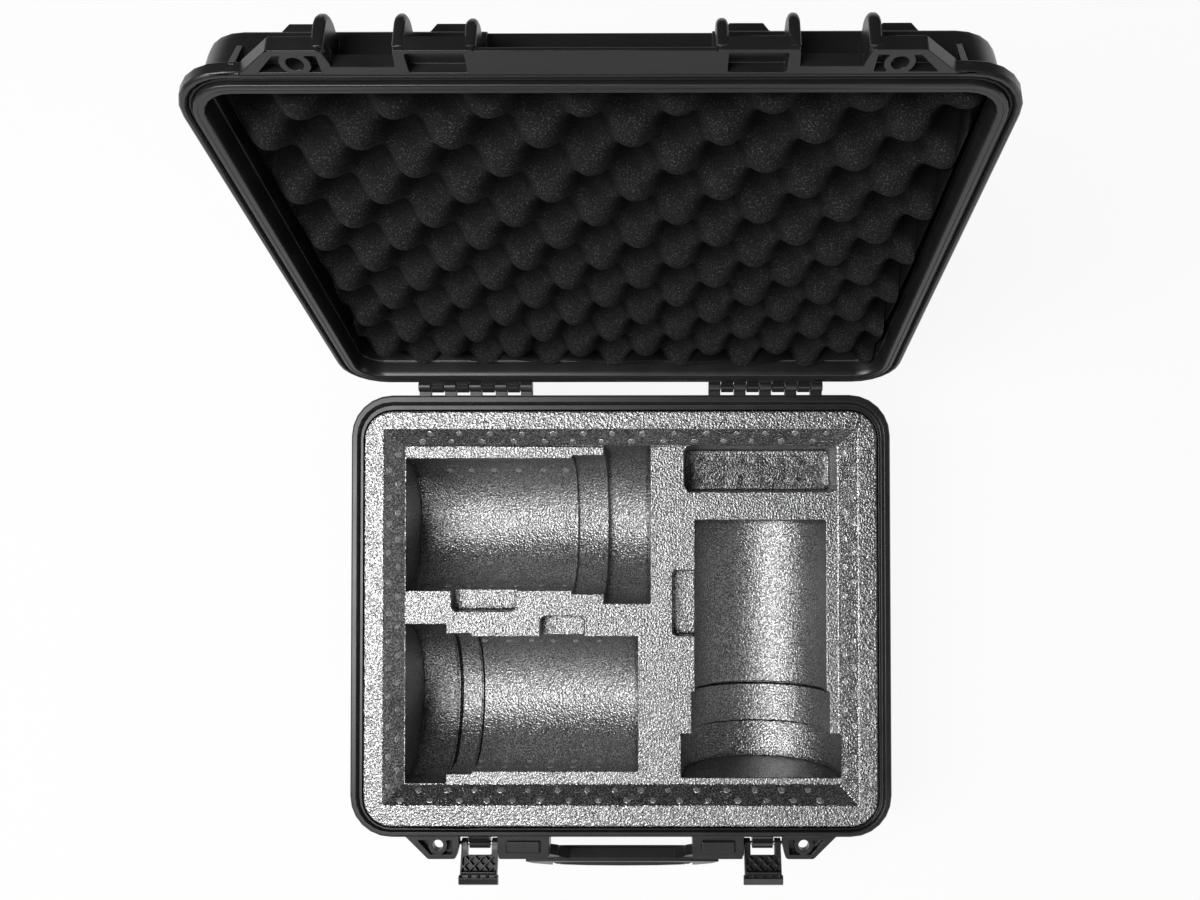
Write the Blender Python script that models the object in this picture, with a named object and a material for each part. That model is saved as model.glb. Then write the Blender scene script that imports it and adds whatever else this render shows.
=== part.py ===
"""Telescope carry case: moulded base and lid, shaped foam tray, convoluted lid foam,
two snap latches, a folding carry handle and two pin hinges.

Lengths are metres. X runs left to right along the front, Y runs front to back, Z is up.
The origin is the middle of the flat panel on the underside of the base.
"""

import math

import bmesh
import bpy
from mathutils import Matrix, Vector

MM = 0.001

# ---- driving dimensions -------------------------------------------------------------
RIM_X = 422.4 * MM            # outline of both rims
RIM_Y = 345.0 * MM
RIM_CORNER = 32.0 * MM
BASE_DEPTH = 108.0 * MM       # underside to parting plane
LID_HEIGHT = 34.0 * MM        # parting plane to the top panel
LID_ROOF = 4.2 * MM           # thickness of the top panel
RIB_HEIGHT = 4.4 * MM         # ribs on the top panel
PARTING_GAP = 0.4 * MM        # air between the closed rims
FIT = 0.35 * MM               # air between pieces that touch
INNER_SHIFT = -1.4 * MM       # interior lies slightly forward of the rim outline
TRAY_SHIFT = -2.5 * MM        # and the upper edge of the tray a little more
STEP_DEPTH = 3.6 * MM         # step inside the base rim
SEAL_INSET = 5.6 * MM         # seal groove of the lid, from the rim outline
SEAL_SECTION = 0.72 * MM      # radius of the O-ring
WALL_LOW = 11.4 * MM          # drafted outer wall, inset from the rim at its lower end
WALL_HIGH = 5.6 * MM          # and under the rim
WALL_SPAN = 16.0 * MM         # straight wall keeps this far from the underside and the rim
CORNER_STEPS = 6
ROUND = 20                    # segments of round parts

FOOT_X, FOOT_Y = 46.0 * MM, 44.0 * MM
FOOT_CENTRE_X, FOOT_CENTRE_Y = RIM_X / 2 - 58.2 * MM, RIM_Y / 2 - 54.5 * MM
PANEL_X, PANEL_Y = 220.0 * MM, 160.0 * MM    # flat panel on the underside
RAISED = 1.5 * MM             # edge of the feet and of the panel

HINGE_OUT = 6.55 * MM         # hinge axis behind the rim
HINGE_RADIUS = 4.6 * MM
HINGE_PIN = 1.75 * MM
HINGE_START = 68.6 * MM       # inboard end of each hinge
HINGE_PITCH = 9.95 * MM
HINGE_KNUCKLES = 9
KNUCKLE_GAP = 0.6 * MM
LID_OPEN = math.radians(108.7)

FLANGE_OUT = 16.9 * MM        # lugs and bracket plates in front of the rim of the base
LID_FLANGE_OUT = 14.9 * MM    # and of the lid
FLANGE_BASE, FLANGE_LID = 9.0 * MM, 8.8 * MM
PLATE_BASE = 4.9 * MM
LUG_HOLE_IN = 68.7 * MM       # padlock hole, from the side of the rim
LUG_HOLE_OUT = 6.1 * MM       # and in front of the rim
LUG_HOLE_R = 4.2 * MM
LUG_RING_R = 7.5 * MM
LUG_SPREAD = 1.8 * MM         # the lugs of the lid are wider than those of the base
LUG_IN = 14.0 * MM            # from the hole to the front corner inboard of it

LATCH_X = 111.3 * MM
LATCH_WIDTH = 28.8 * MM
LATCH_LIP = 0.9 * MM          # the lip is this much wider on each side
LATCH_SIDE = 0.7 * MM         # air between a latch and the inboard bracket
LATCH_PIVOT_OUT = 8.0 * MM    # latch pin in front of the rim
LATCH_PIVOT_DROP = 13.0 * MM  # below the parting plane
LATCH_REACH = 31.4 * MM
LATCH_OPEN = math.radians(70.0)
LATCH_PIN = 1.6 * MM
LATCH_ARM = 4.9 * MM
HOOK_START = 21.8 * MM        # from the pivot, clears the top of the lid rim
HOOK_END = 24.4 * MM
LATTICE_PITCH = 7.9 * MM      # diamond to diamond across the latch
LATTICE_START, LATTICE_END = 9.8 * MM, 21.4 * MM    # from the pivot

HANDLE_PIVOT_OUT = 9.0 * MM
HANDLE_PIVOT_DROP = 10.6 * MM
HANDLE_TILT = math.radians(28.5)
HANDLE_REACH = 52.0 * MM      # pivot to the lower edge of the grip
HANDLE_GAP_REACH = 32.0 * MM
HANDLE_PIN = 1.8 * MM
HANDLE_CORE = 3.8 * MM        # half the thickness of the bar inside the grip
GRIP_HALF = 57.0 * MM
CHEEK_OUT = LATCH_X - LATCH_WIDTH / 2 - LATCH_SIDE
CHEEK_IN = CHEEK_OUT - 40.2 * MM
CHEEK = 4.1 * MM
LATCH_GAP = 31.8 * MM         # between the guard fins on the lid
ARM_IN, ARM_OUT = CHEEK_IN + CHEEK + 0.7 * MM, CHEEK_OUT - 6.6 * MM
HANDLE_HALF = ARM_OUT - 6.6 * MM
HANDLE_GAP_HALF = ARM_IN - 10.3 * MM    # finger opening
FIN = 5.6 * MM                # thickness of the guard fins on the lid
FIN_TALL, FIN_LOW = 27.4 * MM, 24.0 * MM
KEY_IN, KEY_OUT = CHEEK_IN + 6.6 * MM, CHEEK_OUT - 7.2 * MM
KEY_HEIGHT = 2.4 * MM
KEY_DEPTH = 9.6 * MM          # front to back
WINDOW_DEPTH = 6.0 * MM       # blind window in the lid over each key
WINDOW_AIR = 0.9 * MM
NICHE_HALF = 55.5 * MM        # shallow niche in the front of the lid, over the handle
NICHE_DEPTH = 3.4 * MM

VENT_Z = 30.0 * MM            # pressure vent in the front wall
VENT_BORE = 6.0 * MM
VENT_HEAD = 11.0 * MM
VENT_SEAL = 1.2 * MM

TRAY_INSET = 9.4 * MM         # foam tray, from the rim outline
TRAY_TOP_DROP = 2.2 * MM
DECK_DROP = 16.0 * MM         # recessed deck below the parting plane
TUBE_AXIS_DROP = 24.0 * MM    # bedding axis of the three tubes
DECK_X = RIM_X / 2 - 38.3 * MM
DECK_FRONT, DECK_BACK = 37.1 * MM - RIM_Y / 2, RIM_Y / 2 - 39.6 * MM
RECESS_SLOPE = 13.2 * MM      # the recess widens by this much up to the top of the tray
TUBE_REAR_Y, TUBE_FRONT_Y = DECK_BACK - 62.3 * MM, DECK_FRONT + 63.7 * MM
TUBE_SIDE_X = DECK_X - 62.1 * MM
SLOT_DEPTH = 13.0 * MM
POCKET_DEPTH = 34.0 * MM

CRATE_PITCH_X = 48.7 * MM     # convoluted foam
CRATE_PITCH_Y = 49.4 * MM
CRATE_MID, CRATE_WAVE = 15.6 * MM, 9.35 * MM
CRATE_X, CRATE_Y = -6.65 * MM, 9.8 * MM      # one of its peaks
CRATE_TURN = math.radians(-1.15)             # the sheet lies slightly askew

PARTING = BASE_DEPTH          # height of the parting plane
FRONT = -RIM_Y / 2            # front face of both rims
ROOT_Y = FRONT + 3.9 * MM     # front fittings run this far into the rim
FLANGE_Y = FRONT - FLANGE_OUT
LID_FLANGE_Y = FRONT - LID_FLANGE_OUT
HINGE_Y = RIM_Y / 2 + HINGE_OUT
LATCH_PIVOT_Y = FRONT - LATCH_PIVOT_OUT
HANDLE_PIVOT_Y = FRONT - HANDLE_PIVOT_OUT
LUG_HOLE_X, LUG_HOLE_Y = RIM_X / 2 - LUG_HOLE_IN, FRONT - LUG_HOLE_OUT
KEY_Y = FRONT - 7.2 * MM      # middle of the keys


# ---- small builders -----------------------------------------------------------------
def material(name, colour, roughness, metallic=0.0):
    mat = bpy.data.materials.new(name)
    mat.use_nodes = True
    shader = mat.node_tree.nodes["Principled BSDF"]
    shader.inputs["Base Color"].default_value = (*colour, 1.0)
    shader.inputs["Roughness"].default_value = roughness
    shader.inputs["Metallic"].default_value = metallic
    return mat


def make(name, verts, faces, mat=None):
    mesh = bpy.data.meshes.new(name)
    mesh.from_pydata([tuple(v) for v in verts], [], faces)
    bm = bmesh.new()
    bm.from_mesh(mesh)
    bmesh.ops.recalc_face_normals(bm, faces=bm.faces)
    bm.to_mesh(mesh)
    bm.free()
    ob = bpy.data.objects.new(name, mesh)
    bpy.context.scene.collection.objects.link(ob)
    if mat:
        mesh.materials.append(mat)
    return ob


def loft(name, loops, mat=None):
    """Closed body through loops of equal length, capped at both ends."""
    count = len(loops[0])
    verts = [p for loop in loops for p in loop]
    faces = [list(range(count))[::-1],
             [(len(loops) - 1) * count + i for i in range(count)]]
    for k in range(len(loops) - 1):
        for i in range(count):
            j = (i + 1) % count
            faces.append([k * count + i, k * count + j, (k + 1) * count + j, (k + 1) * count + i])
    return make(name, verts, faces, mat)


def prism(name, outline, lo, hi, axis="Z", mat=None):
    """Extrude a 2-D outline: axis Z takes (x, y), X takes (y, z), Y takes (x, z)."""
    def place(p, h):
        if axis == "Z":
            return (p[0], p[1], h)
        if axis == "X":
            return (h, p[0], p[1])
        return (p[0], h, p[1])
    return loft(name, [[place(p, lo) for p in outline], [place(p, hi) for p in outline]], mat)


def box(name, x0, x1, y0, y1, z0, z1, mat=None):
    return prism(name, [(x0, y0), (x1, y0), (x1, y1), (x0, y1)], z0, z1, "Z", mat)


def arc(cx, cy, radius, start, end, steps):
    return [(cx + radius * math.cos(math.radians(start + (end - start) * i / steps)),
             cy + radius * math.sin(math.radians(start + (end - start) * i / steps)))
            for i in range(steps + 1)]


def rod(name, radius, x0, x1, y, z, mat=None, steps=ROUND, chamfer=0.0):
    """Round bar along X, optionally with chamfered ends."""
    def loop(x, r):
        return [(x, y + r * math.cos(2 * math.pi * i / steps), z + r * math.sin(2 * math.pi * i / steps))
                for i in range(steps)]
    loops = [loop(x0, radius), loop(x1, radius)]
    if chamfer:
        loops = [loop(x0, radius - chamfer), loop(x0 + chamfer, radius),
                 loop(x1 - chamfer, radius), loop(x1, radius - chamfer)]
    return loft(name, loops, mat)


def mirrored(outline):
    return [(-x, y) for x, y in outline][::-1]


def rounded(points, radius, steps=3):
    """Round the corners of a closed outline; radius may be a list, one value per corner."""
    out = []
    count = len(points)
    for i, p in enumerate(points):
        r = radius[i] if isinstance(radius, (list, tuple)) else radius
        p = Vector(p)
        a = Vector(points[i - 1]) - p
        b = Vector(points[(i + 1) % count]) - p
        if r <= 0.0:
            out.append(tuple(p))
            continue
        half = a.angle(b) / 2
        cut = min(r / math.tan(half), a.length * 0.45, b.length * 0.45)
        start, end = p + a.normalized() * cut, p + b.normalized() * cut
        for k in range(steps + 1):
            t = k / steps
            out.append(tuple((1 - t) ** 2 * start + 2 * t * (1 - t) * p + t * t * end))
    return out


def clipped(outline, x0, x1, y0, y1):
    """The part of a closed outline inside a rectangle; slivers give an empty list."""
    for axis, limit, sign in ((0, x0, 1), (0, x1, -1), (1, y0, 1), (1, y1, -1)):
        kept = []
        for i, q in enumerate(outline):
            p = outline[i - 1]
            dp, dq = sign * (p[axis] - limit), sign * (q[axis] - limit)
            if dp * dq < 0:
                t = dp / (dp - dq)
                kept.append((p[0] + (q[0] - p[0]) * t, p[1] + (q[1] - p[1]) * t))
            if dq >= 0:
                kept.append(q)
        outline = kept
    area = sum(p[0] * q[1] - q[0] * p[1] for p, q in zip(outline, outline[1:] + outline[:1])) / 2
    return outline if abs(area) > 1.2 * MM * MM else []


def rect_loop(hx, y0, y1, radius, z, steps=CORNER_STEPS):
    loop = []
    corners = ((hx, y1), (-hx, y1), (-hx, y0), (hx, y0))
    for k, (cx, cy) in enumerate(corners):
        sx, sy = math.copysign(1, cx), (1 if k < 2 else -1)
        for i in range(steps + 1):
            a = math.pi / 2 * (k + i / steps)
            loop.append((cx - sx * radius + radius * math.cos(a),
                         cy - sy * radius + radius * math.sin(a), z))
    return loop


def rim_loop(inset, z, shift=0.0, side=0.0):
    """Rim outline drawn in by inset, and on the left and right by side as well, at height z."""
    hx, hy = RIM_X / 2 - inset - side, RIM_Y / 2 - inset
    return rect_loop(hx, shift - hy, shift + hy, max(RIM_CORNER - inset, 9 * MM), z)


def pocket_loop(x0, x1, y0, y1, radius, z, steps=4):
    loop = rect_loop((x1 - x0) / 2, y0, y1, radius, z, steps)
    return [(x + (x0 + x1) / 2, y, h) for x, y, h in loop]


def combine(target, tool, operation):
    mod = target.modifiers.new("combine", "BOOLEAN")
    mod.solver = "EXACT"
    mod.operation = operation
    mod.object = tool
    bpy.context.view_layer.update()
    graph = bpy.context.evaluated_depsgraph_get()
    mesh = bpy.data.meshes.new_from_object(target.evaluated_get(graph))
    target.modifiers.clear()
    old = target.data
    target.data = mesh
    bpy.data.meshes.remove(old)
    bpy.data.objects.remove(tool, do_unlink=True)
    return target


def add(target, tool):
    return combine(target, tool, "UNION")


def cut(target, tool):
    return combine(target, tool, "DIFFERENCE")


def finish(ob, name, mat, smooth_angle=32.0):
    """Final name and material, clean normals and smooth round faces."""
    ob.name = name
    ob.data.name = name
    ob.data.materials.clear()
    ob.data.materials.append(mat)
    bm = bmesh.new()
    bm.from_mesh(ob.data)
    bmesh.ops.remove_doubles(bm, verts=bm.verts, dist=1e-6)
    bmesh.ops.dissolve_degenerate(bm, edges=bm.edges, dist=1e-6)
    bmesh.ops.recalc_face_normals(bm, faces=bm.faces)
    limit = math.radians(smooth_angle)
    for face in bm.faces:
        face.smooth = True
        face.material_index = 0
    for edge in bm.edges:
        if len(edge.link_faces) == 2:
            edge.smooth = edge.calc_face_angle(0.0) < limit
    bm.to_mesh(ob.data)
    bm.free()
    return ob


def hang(name, point, turn, objects):
    """Gather objects under an empty on a joint axis parallel to X, then turn it."""
    pivot = bpy.data.objects.new(name, None)
    bpy.context.scene.collection.objects.link(pivot)
    for ob in objects:
        ob.data.transform(Matrix.Translation(-Vector(point)))
        ob.parent = pivot
    pivot.matrix_world = Matrix.Translation(point) @ Matrix.Rotation(turn, 4, "X")


# ---- base shell ---------------------------------------------------------------------
def wall_inset(z):
    """Inset of the drafted outer wall from the rim outline at height z."""
    t = (z - WALL_SPAN) / (PARTING - 2 * WALL_SPAN)
    return WALL_LOW + (WALL_HIGH - WALL_LOW) * t


def turned(name, profile, y, z, steps=ROUND):
    """Round body about a line along Y: profile lists (radius, distance) from y."""
    loops = [[(r * math.cos(2 * math.pi * i / steps), y + d, z + r * math.sin(2 * math.pi * i / steps))
              for i in range(steps)] for r, d in profile]
    return loft(name, loops)


def side_rib(name, centre, half, z1, side, reach=3.4 * MM):
    """Shallow drafted rib standing on a side, front or back wall of the base."""
    sign = 1 if side in ("right", "back") else -1
    flare, root = 3 * MM, 1.2 * MM
    loops = []
    for z in (WALL_SPAN + 0.5 * MM, z1):
        wall = (RIM_X if side in ("left", "right") else RIM_Y) / 2 - wall_inset(z)
        across = [(wall - root, centre - half - flare), (wall + reach, centre - half),
                  (wall + reach, centre + half), (wall - root, centre + half + flare)]
        if side in ("left", "right"):
            loops.append([(sign * out, along, z) for out, along in across])
        else:
            loops.append([(along, sign * out, z) for out, along in across])
    return loft(name, loops)


def raised_pad(name, x0, x1, y0, y1, radius):
    """Flat pad on the underside, reaching down to z = 0."""
    e = RAISED
    return loft(name, [pocket_loop(x0 + e, x1 - e, y0 + e, y1 - e, radius - e, 0, 3),
                       pocket_loop(x0, x1, y0, y1, radius, e, 3),
                       pocket_loop(x0, x1, y0, y1, radius, 2 * e, 3)])


def spread(sign, x0, x1):
    """The span x0 to x1 on the right, or its mirror image on the left."""
    return sorted((sign * x0, sign * x1))


def lug_outline(front, out):
    """Padlock lug on the right, seen from above; out widens it towards the corner of the case."""
    x = LUG_HOLE_X
    root = x - 16.4 * MM
    side = x + 27.2 * MM + out
    return rounded([(side + 1.1 * MM, ROOT_Y), (side, FRONT + 0.5 * MM), (x + 9.5 * MM + out, front),
                    (x - LUG_IN, front), (root, FRONT - 6.0 * MM), (root, ROOT_Y)],
                   [0, 5 * MM, 3 * MM, 3 * MM, 0, 0])


def plate_outline(front):
    """Bracket plate on the right, between the latch and the handle opening."""
    return rounded([(CHEEK_OUT + 0.2 * MM, ROOT_Y), (CHEEK_OUT - 1.2 * MM, front),
                    (CHEEK_IN + 0.4 * MM, front), (CHEEK_IN - 0.4 * MM, ROOT_Y)],
                   [0, 1.6 * MM, 2.4 * MM, 0])


def lug_pockets(front, out, z0, z1):
    """Two blind web pockets beside each padlock hole of the same lug."""
    x = LUG_HOLE_X
    near, far = front + 14.5 * MM, front + 3.6 * MM
    # the pockets end short of the ring round the hole
    high = math.degrees(math.asin((near - LUG_HOLE_Y) / LUG_RING_R)) - 3
    low = math.degrees(math.asin((far - LUG_HOLE_Y) / LUG_RING_R)) + 3
    ring = arc(0, LUG_HOLE_Y, LUG_RING_R, high, low, 5)
    gap = 0.7 * MM
    outer = ([(x + 17.6 * MM + out, near), (x + ring[0][0] + gap, near)] + [(x + a, b) for a, b in ring]
             + [(x + ring[-1][0] + gap, far), (x + 7.4 * MM + out, far)])
    inner = ([(x - 0.32 * LUG_IN - 6.7 * MM, near), (x - ring[0][0] - gap, near)]
             + [(x - a, b) for a, b in ring]
             + [(x - ring[-1][0] - gap, far), (x - 0.63 * LUG_IN - 2.4 * MM, far)])
    return [prism("pocket", shape, z0, z1) for base in (outer, inner) for shape in (base, mirrored(base))]


def knuckle(x0, x1, z_side):
    """Hinge knuckle with a web back to its own rim; z_side is -1 for base, +1 for lid."""
    r = HINGE_RADIUS
    start = 90 if z_side < 0 else -90
    outline = [(HINGE_Y + r * math.cos(math.radians(a)), r * math.sin(math.radians(a)))
               for a in range(start, start + z_side * 181, z_side * 18)]
    web = [(HINGE_Y, z_side * r), (RIM_Y / 2 - 3.4 * MM, z_side * r),
           (RIM_Y / 2 - 3.4 * MM, z_side * 0.5 * MM), (RIM_Y / 2 + 1.0 * MM, z_side * 0.5 * MM),
           (HINGE_Y - r * 0.86, z_side * 0.5 * MM)]
    front = [(HINGE_Y + r * math.cos(math.radians(a)), -z_side * r * math.sin(math.radians(a)))
             for a in (150, 120)]
    shape = outline + web[1:] + [(y, z) for y, z in front]
    return prism("knuckle", [(y, PARTING + z) for y, z in shape], x0, x1, "X")


def knuckle_spans():
    """Spans of the hinge on the right; the even ones belong to the base, the odd to the lid."""
    edges = [HINGE_START + i * HINGE_PITCH for i in range(HINGE_KNUCKLES + 1)]
    return [(lo + KNUCKLE_GAP / 2, hi - KNUCKLE_GAP / 2) for lo, hi in zip(edges, edges[1:])]


def hinge_bores(target):
    """Bore for the pin of each hinge, blind at both ends."""
    spans = knuckle_spans()
    blind = 1.5 * MM
    for sign in (1, -1):
        lo, hi = spread(sign, spans[0][0] + blind, spans[-1][1] - blind)
        cut(target, rod("bore", HINGE_PIN + FIT, lo, hi, HINGE_Y, PARTING, steps=12))


def padlock_holes(target, z0, z1):
    for sign in (1, -1):
        hole = arc(sign * LUG_HOLE_X, LUG_HOLE_Y, LUG_HOLE_R, 0, 360, 16)[:-1]
        cut(target, prism("hole", hole, z0, z1))


def add_fittings(base, sign):
    """Pin brackets, alignment key, knuckles and ribs on one side of the base."""
    p = PARTING
    top = p - 0.3 * MM
    y0, y1 = ROOT_Y + 4.4 * MM, ROOT_Y + 1.9 * MM    # roots stay inside the drafted wall
    cheek = [(y0, p - 30 * MM), (y1, p - 4.0 * MM),
             (FLANGE_Y + 3.4 * MM, p - 4.0 * MM), (FLANGE_Y + 0.8 * MM, p - 6.0 * MM),
             (FLANGE_Y + 1.8 * MM, p - 13.0 * MM), (FLANGE_Y + 4.8 * MM, p - 17.4 * MM),
             (FLANGE_Y + 11.4 * MM, p - 19.6 * MM)]
    boss = [(y0, p - 26 * MM), (y1, p - 8 * MM)]
    boss += arc(LATCH_PIVOT_Y, p - LATCH_PIVOT_DROP, 3.8 * MM, 100, 265, 7)
    outer = LATCH_X + LATCH_WIDTH / 2 + 2.7 * MM
    for outline, x0, x1 in ((cheek, CHEEK_IN, CHEEK_IN + CHEEK), (cheek, ARM_OUT + 0.5 * MM, CHEEK_OUT),
                            (boss, outer, outer + 4.6 * MM)):
        lo, hi = spread(sign, x0, x1)
        add(base, prism("cheek", outline, lo, hi, "X"))
    # block between the arms of the latch
    block_half = LATCH_WIDTH / 2 - LATCH_ARM - 1.4 * MM
    lo, hi = spread(sign, LATCH_X - block_half, LATCH_X + block_half)
    block = [(y0, p - 27 * MM), (y1, p - 3.4 * MM), (FRONT - 2.1 * MM, p - 4.4 * MM)]
    block += arc(LATCH_PIVOT_Y, p - LATCH_PIVOT_DROP, 4.1 * MM, 78, 275, 8)
    add(base, prism("block", block, lo, hi, "X"))
    # alignment key on the bracket plate
    lo, hi = spread(sign, KEY_IN, KEY_OUT)
    near, far = KEY_Y + KEY_DEPTH / 2, KEY_Y - KEY_DEPTH / 2
    bevel = 0.8 * MM
    add(base, loft("key", [
        pocket_loop(lo, hi, far, near, 1.2 * MM, top - 1 * MM, 2),
        pocket_loop(lo, hi, far, near, 1.2 * MM, top + KEY_HEIGHT - bevel, 2),
        pocket_loop(lo + bevel, hi - bevel, far + bevel, near - bevel, 0.8 * MM, top + KEY_HEIGHT, 2)]))
    for i, span in enumerate(knuckle_spans()):
        if i % 2 == 0:
            add(base, knuckle(*spread(sign, *span), -1))
    high, low = p - 13 * MM, p - 22 * MM
    for x, side, reach in ((56.0 * MM, "back", high), (125.0 * MM, "back", high),
                           (148.0 * MM, "front", high), (77.0 * MM, "front", low)):
        add(base, side_rib("rib", sign * x, 9 * MM, reach, side))
    for y in (-62.0 * MM, 62.0 * MM):
        add(base, side_rib("rib", y, 14 * MM, high, "right" if sign > 0 else "left"))
    for y in (-FOOT_CENTRE_Y, FOOT_CENTRE_Y):
        x0, x1 = spread(sign, FOOT_CENTRE_X - FOOT_X / 2, FOOT_CENTRE_X + FOOT_X / 2)
        add(base, raised_pad("foot", x0, x1, y - FOOT_Y / 2, y + FOOT_Y / 2, 8 * MM))


def build_base(mat):
    p = PARTING
    g = PARTING_GAP / 2
    s = INNER_SHIFT
    t = TRAY_INSET
    loops = [rim_loop(24 * MM, 2 * MM), rim_loop(17 * MM, 3.2 * MM), rim_loop(12.8 * MM, 9 * MM),
             rim_loop(WALL_LOW, WALL_SPAN), rim_loop(WALL_HIGH, p - WALL_SPAN),
             rim_loop(0.8 * MM, p - 12 * MM), rim_loop(0, p - 11 * MM), rim_loop(0, p - 1.4 * MM),
             rim_loop(1.2 * MM, p - g), rim_loop(4.7 * MM, p - g, s / 2),
             rim_loop(6.4 * MM, p - STEP_DEPTH, s), rim_loop(t - 0.6 * MM, p - STEP_DEPTH, TRAY_SHIFT),
             rim_loop(t - 0.5 * MM, p - 7 * MM, TRAY_SHIFT), rim_loop(t + 0.8 * MM, p - 13 * MM, s),
             rim_loop(15.6 * MM, 14 * MM, s),
             rim_loop(19 * MM, 7 * MM, s), rim_loop(27 * MM, 5.6 * MM, s)]
    base = loft("base", loops)
    top = p - 0.3 * MM
    for side in (list, mirrored):
        add(base, prism("lug", side(lug_outline(FLANGE_Y, -LUG_SPREAD)), p - FLANGE_BASE, top))
        add(base, prism("plate", side(plate_outline(FLANGE_Y)), p - PLATE_BASE, top))
    for sign in (1, -1):
        add_fittings(base, sign)
    add(base, raised_pad("panel", -PANEL_X / 2, PANEL_X / 2, -PANEL_Y / 2, PANEL_Y / 2, 13.5 * MM))

    # padlock holes, web pockets and bores
    padlock_holes(base, p - 12 * MM, p + 3 * MM)
    for sign in (1, -1):
        latch = sign * LATCH_X
        half = LATCH_WIDTH / 2 + 5.4 * MM
        cut(base, rod("bore", LATCH_PIN + FIT, latch - half, latch + half, LATCH_PIVOT_Y,
                      p - LATCH_PIVOT_DROP, steps=12))
        lo, hi = spread(sign, ARM_IN - 2.6 * MM, ARM_OUT + 2.6 * MM)
        cut(base, rod("bore", HANDLE_PIN + FIT, lo, hi, HANDLE_PIVOT_Y, p - HANDLE_PIVOT_DROP, steps=12))
    hinge_bores(base)
    for pocket in lug_pockets(FLANGE_Y, -LUG_SPREAD, p - 7 * MM, p + 2 * MM):
        cut(base, pocket)
    bore = VENT_BORE + FIT
    cut(base, turned("bore", [(bore, 0), (bore, -30 * MM)], FRONT + 22.5 * MM, VENT_Z))
    return finish(base, "base_shell", mat)


# ---- lid shell ----------------------------------------------------------------------
def top_rib(x0, x1, y0, y1, h0, h1):
    """Flat-topped rib lying front to back on the lid."""
    slope, end = 4.0 * MM, 0.8 * MM
    return loft("rib", [
        [(x0, y0, h0), (x1, y0, h0), (x1, y1, h0), (x0, y1, h0)],
        [(x0 + slope, y0 + end, h1), (x1 - slope, y0 + end, h1),
         (x1 - slope, y1 - end, h1), (x0 + slope, y1 - end, h1)]])


def fin(x0, x1, height):
    """Guard fin beside a latch, rounded at the top, standing on the lid rim."""
    p = PARTING
    back = FRONT + 8 * MM
    loops = []
    for x, ease in ((x0, 2.0 * MM), (x0 + 0.8 * MM, 0.6 * MM), (x0 + 2.0 * MM, 0),
                    (x1 - 2.0 * MM, 0), (x1 - 0.8 * MM, 0.6 * MM), (x1, 2.0 * MM)):
        h = height - ease
        y = LID_FLANGE_Y - 0.3 * MM + ease * 0.4
        outline = [(back, 3 * MM), (y, 3 * MM), (y, h * 0.66), (y + 0.9 * MM, h * 0.79),
                   (y + 3.2 * MM, h * 0.91), (y + 6.6 * MM, h * 0.98), (y + 10.0 * MM, h),
                   (FRONT, h * 0.975), (back, h * 0.93)]
        loops.append([(x, q, p + z) for q, z in outline])
    return loft("fin", loops)


def add_lid_fittings(lid, sign):
    """Latch ledge, guard fins, top ribs, corner gusset and knuckles on one side of the lid."""
    p = PARTING
    top = p + LID_HEIGHT
    inner, outer = LATCH_X - LATCH_GAP / 2, LATCH_X + LATCH_GAP / 2
    lo, hi = spread(sign, inner - 0.5 * MM, outer + 2.5 * MM)
    add(lid, box("ledge", lo, hi, FRONT - 4.1 * MM, ROOT_Y, p + 0.3 * MM, p + 7.6 * MM))
    for x0, thick, height in ((outer, FIN + 0.6 * MM, FIN_TALL), (inner - FIN, FIN, FIN_TALL),
                              (CHEEK_IN, FIN, FIN_LOW)):
        lo, hi = spread(sign, x0, x0 + thick)
        add(lid, fin(lo, hi, height))
    reach = RIM_Y / 2 - 8.2 * MM
    for x0, x1 in ((RIM_X / 2 - 75.2 * MM, RIM_X / 2 - 52.7 * MM),
                   (RIM_X / 2 - 151.2 * MM, RIM_X / 2 - 126.2 * MM)):
        lo, hi = spread(sign, x0, x1)
        add(lid, top_rib(lo, hi, -reach, reach, top - 3.0 * MM, top + RIB_HEIGHT))
    # gusset between the corner wall and the rim
    near = Vector((sign * (RIM_X / 2 - 35.2 * MM), FRONT + 8.4 * MM))
    far = Vector((sign * (RIM_X / 2 - 35.6 * MM), FRONT - 0.2 * MM))
    crest = near.lerp(far, 0.2)
    across = Vector((1.5 * MM, 0))
    add(lid, loft("gusset", [
        [(*q, p + 6 * MM) for q in (near - across, far - across, far + across, near + across)],
        [(*q, p + 23.5 * MM) for q in (near - across, crest - across, crest + across, near + across)]]))
    for i, span in enumerate(knuckle_spans()):
        if i % 2 == 1:
            add(lid, knuckle(*spread(sign, *span), 1))


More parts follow.
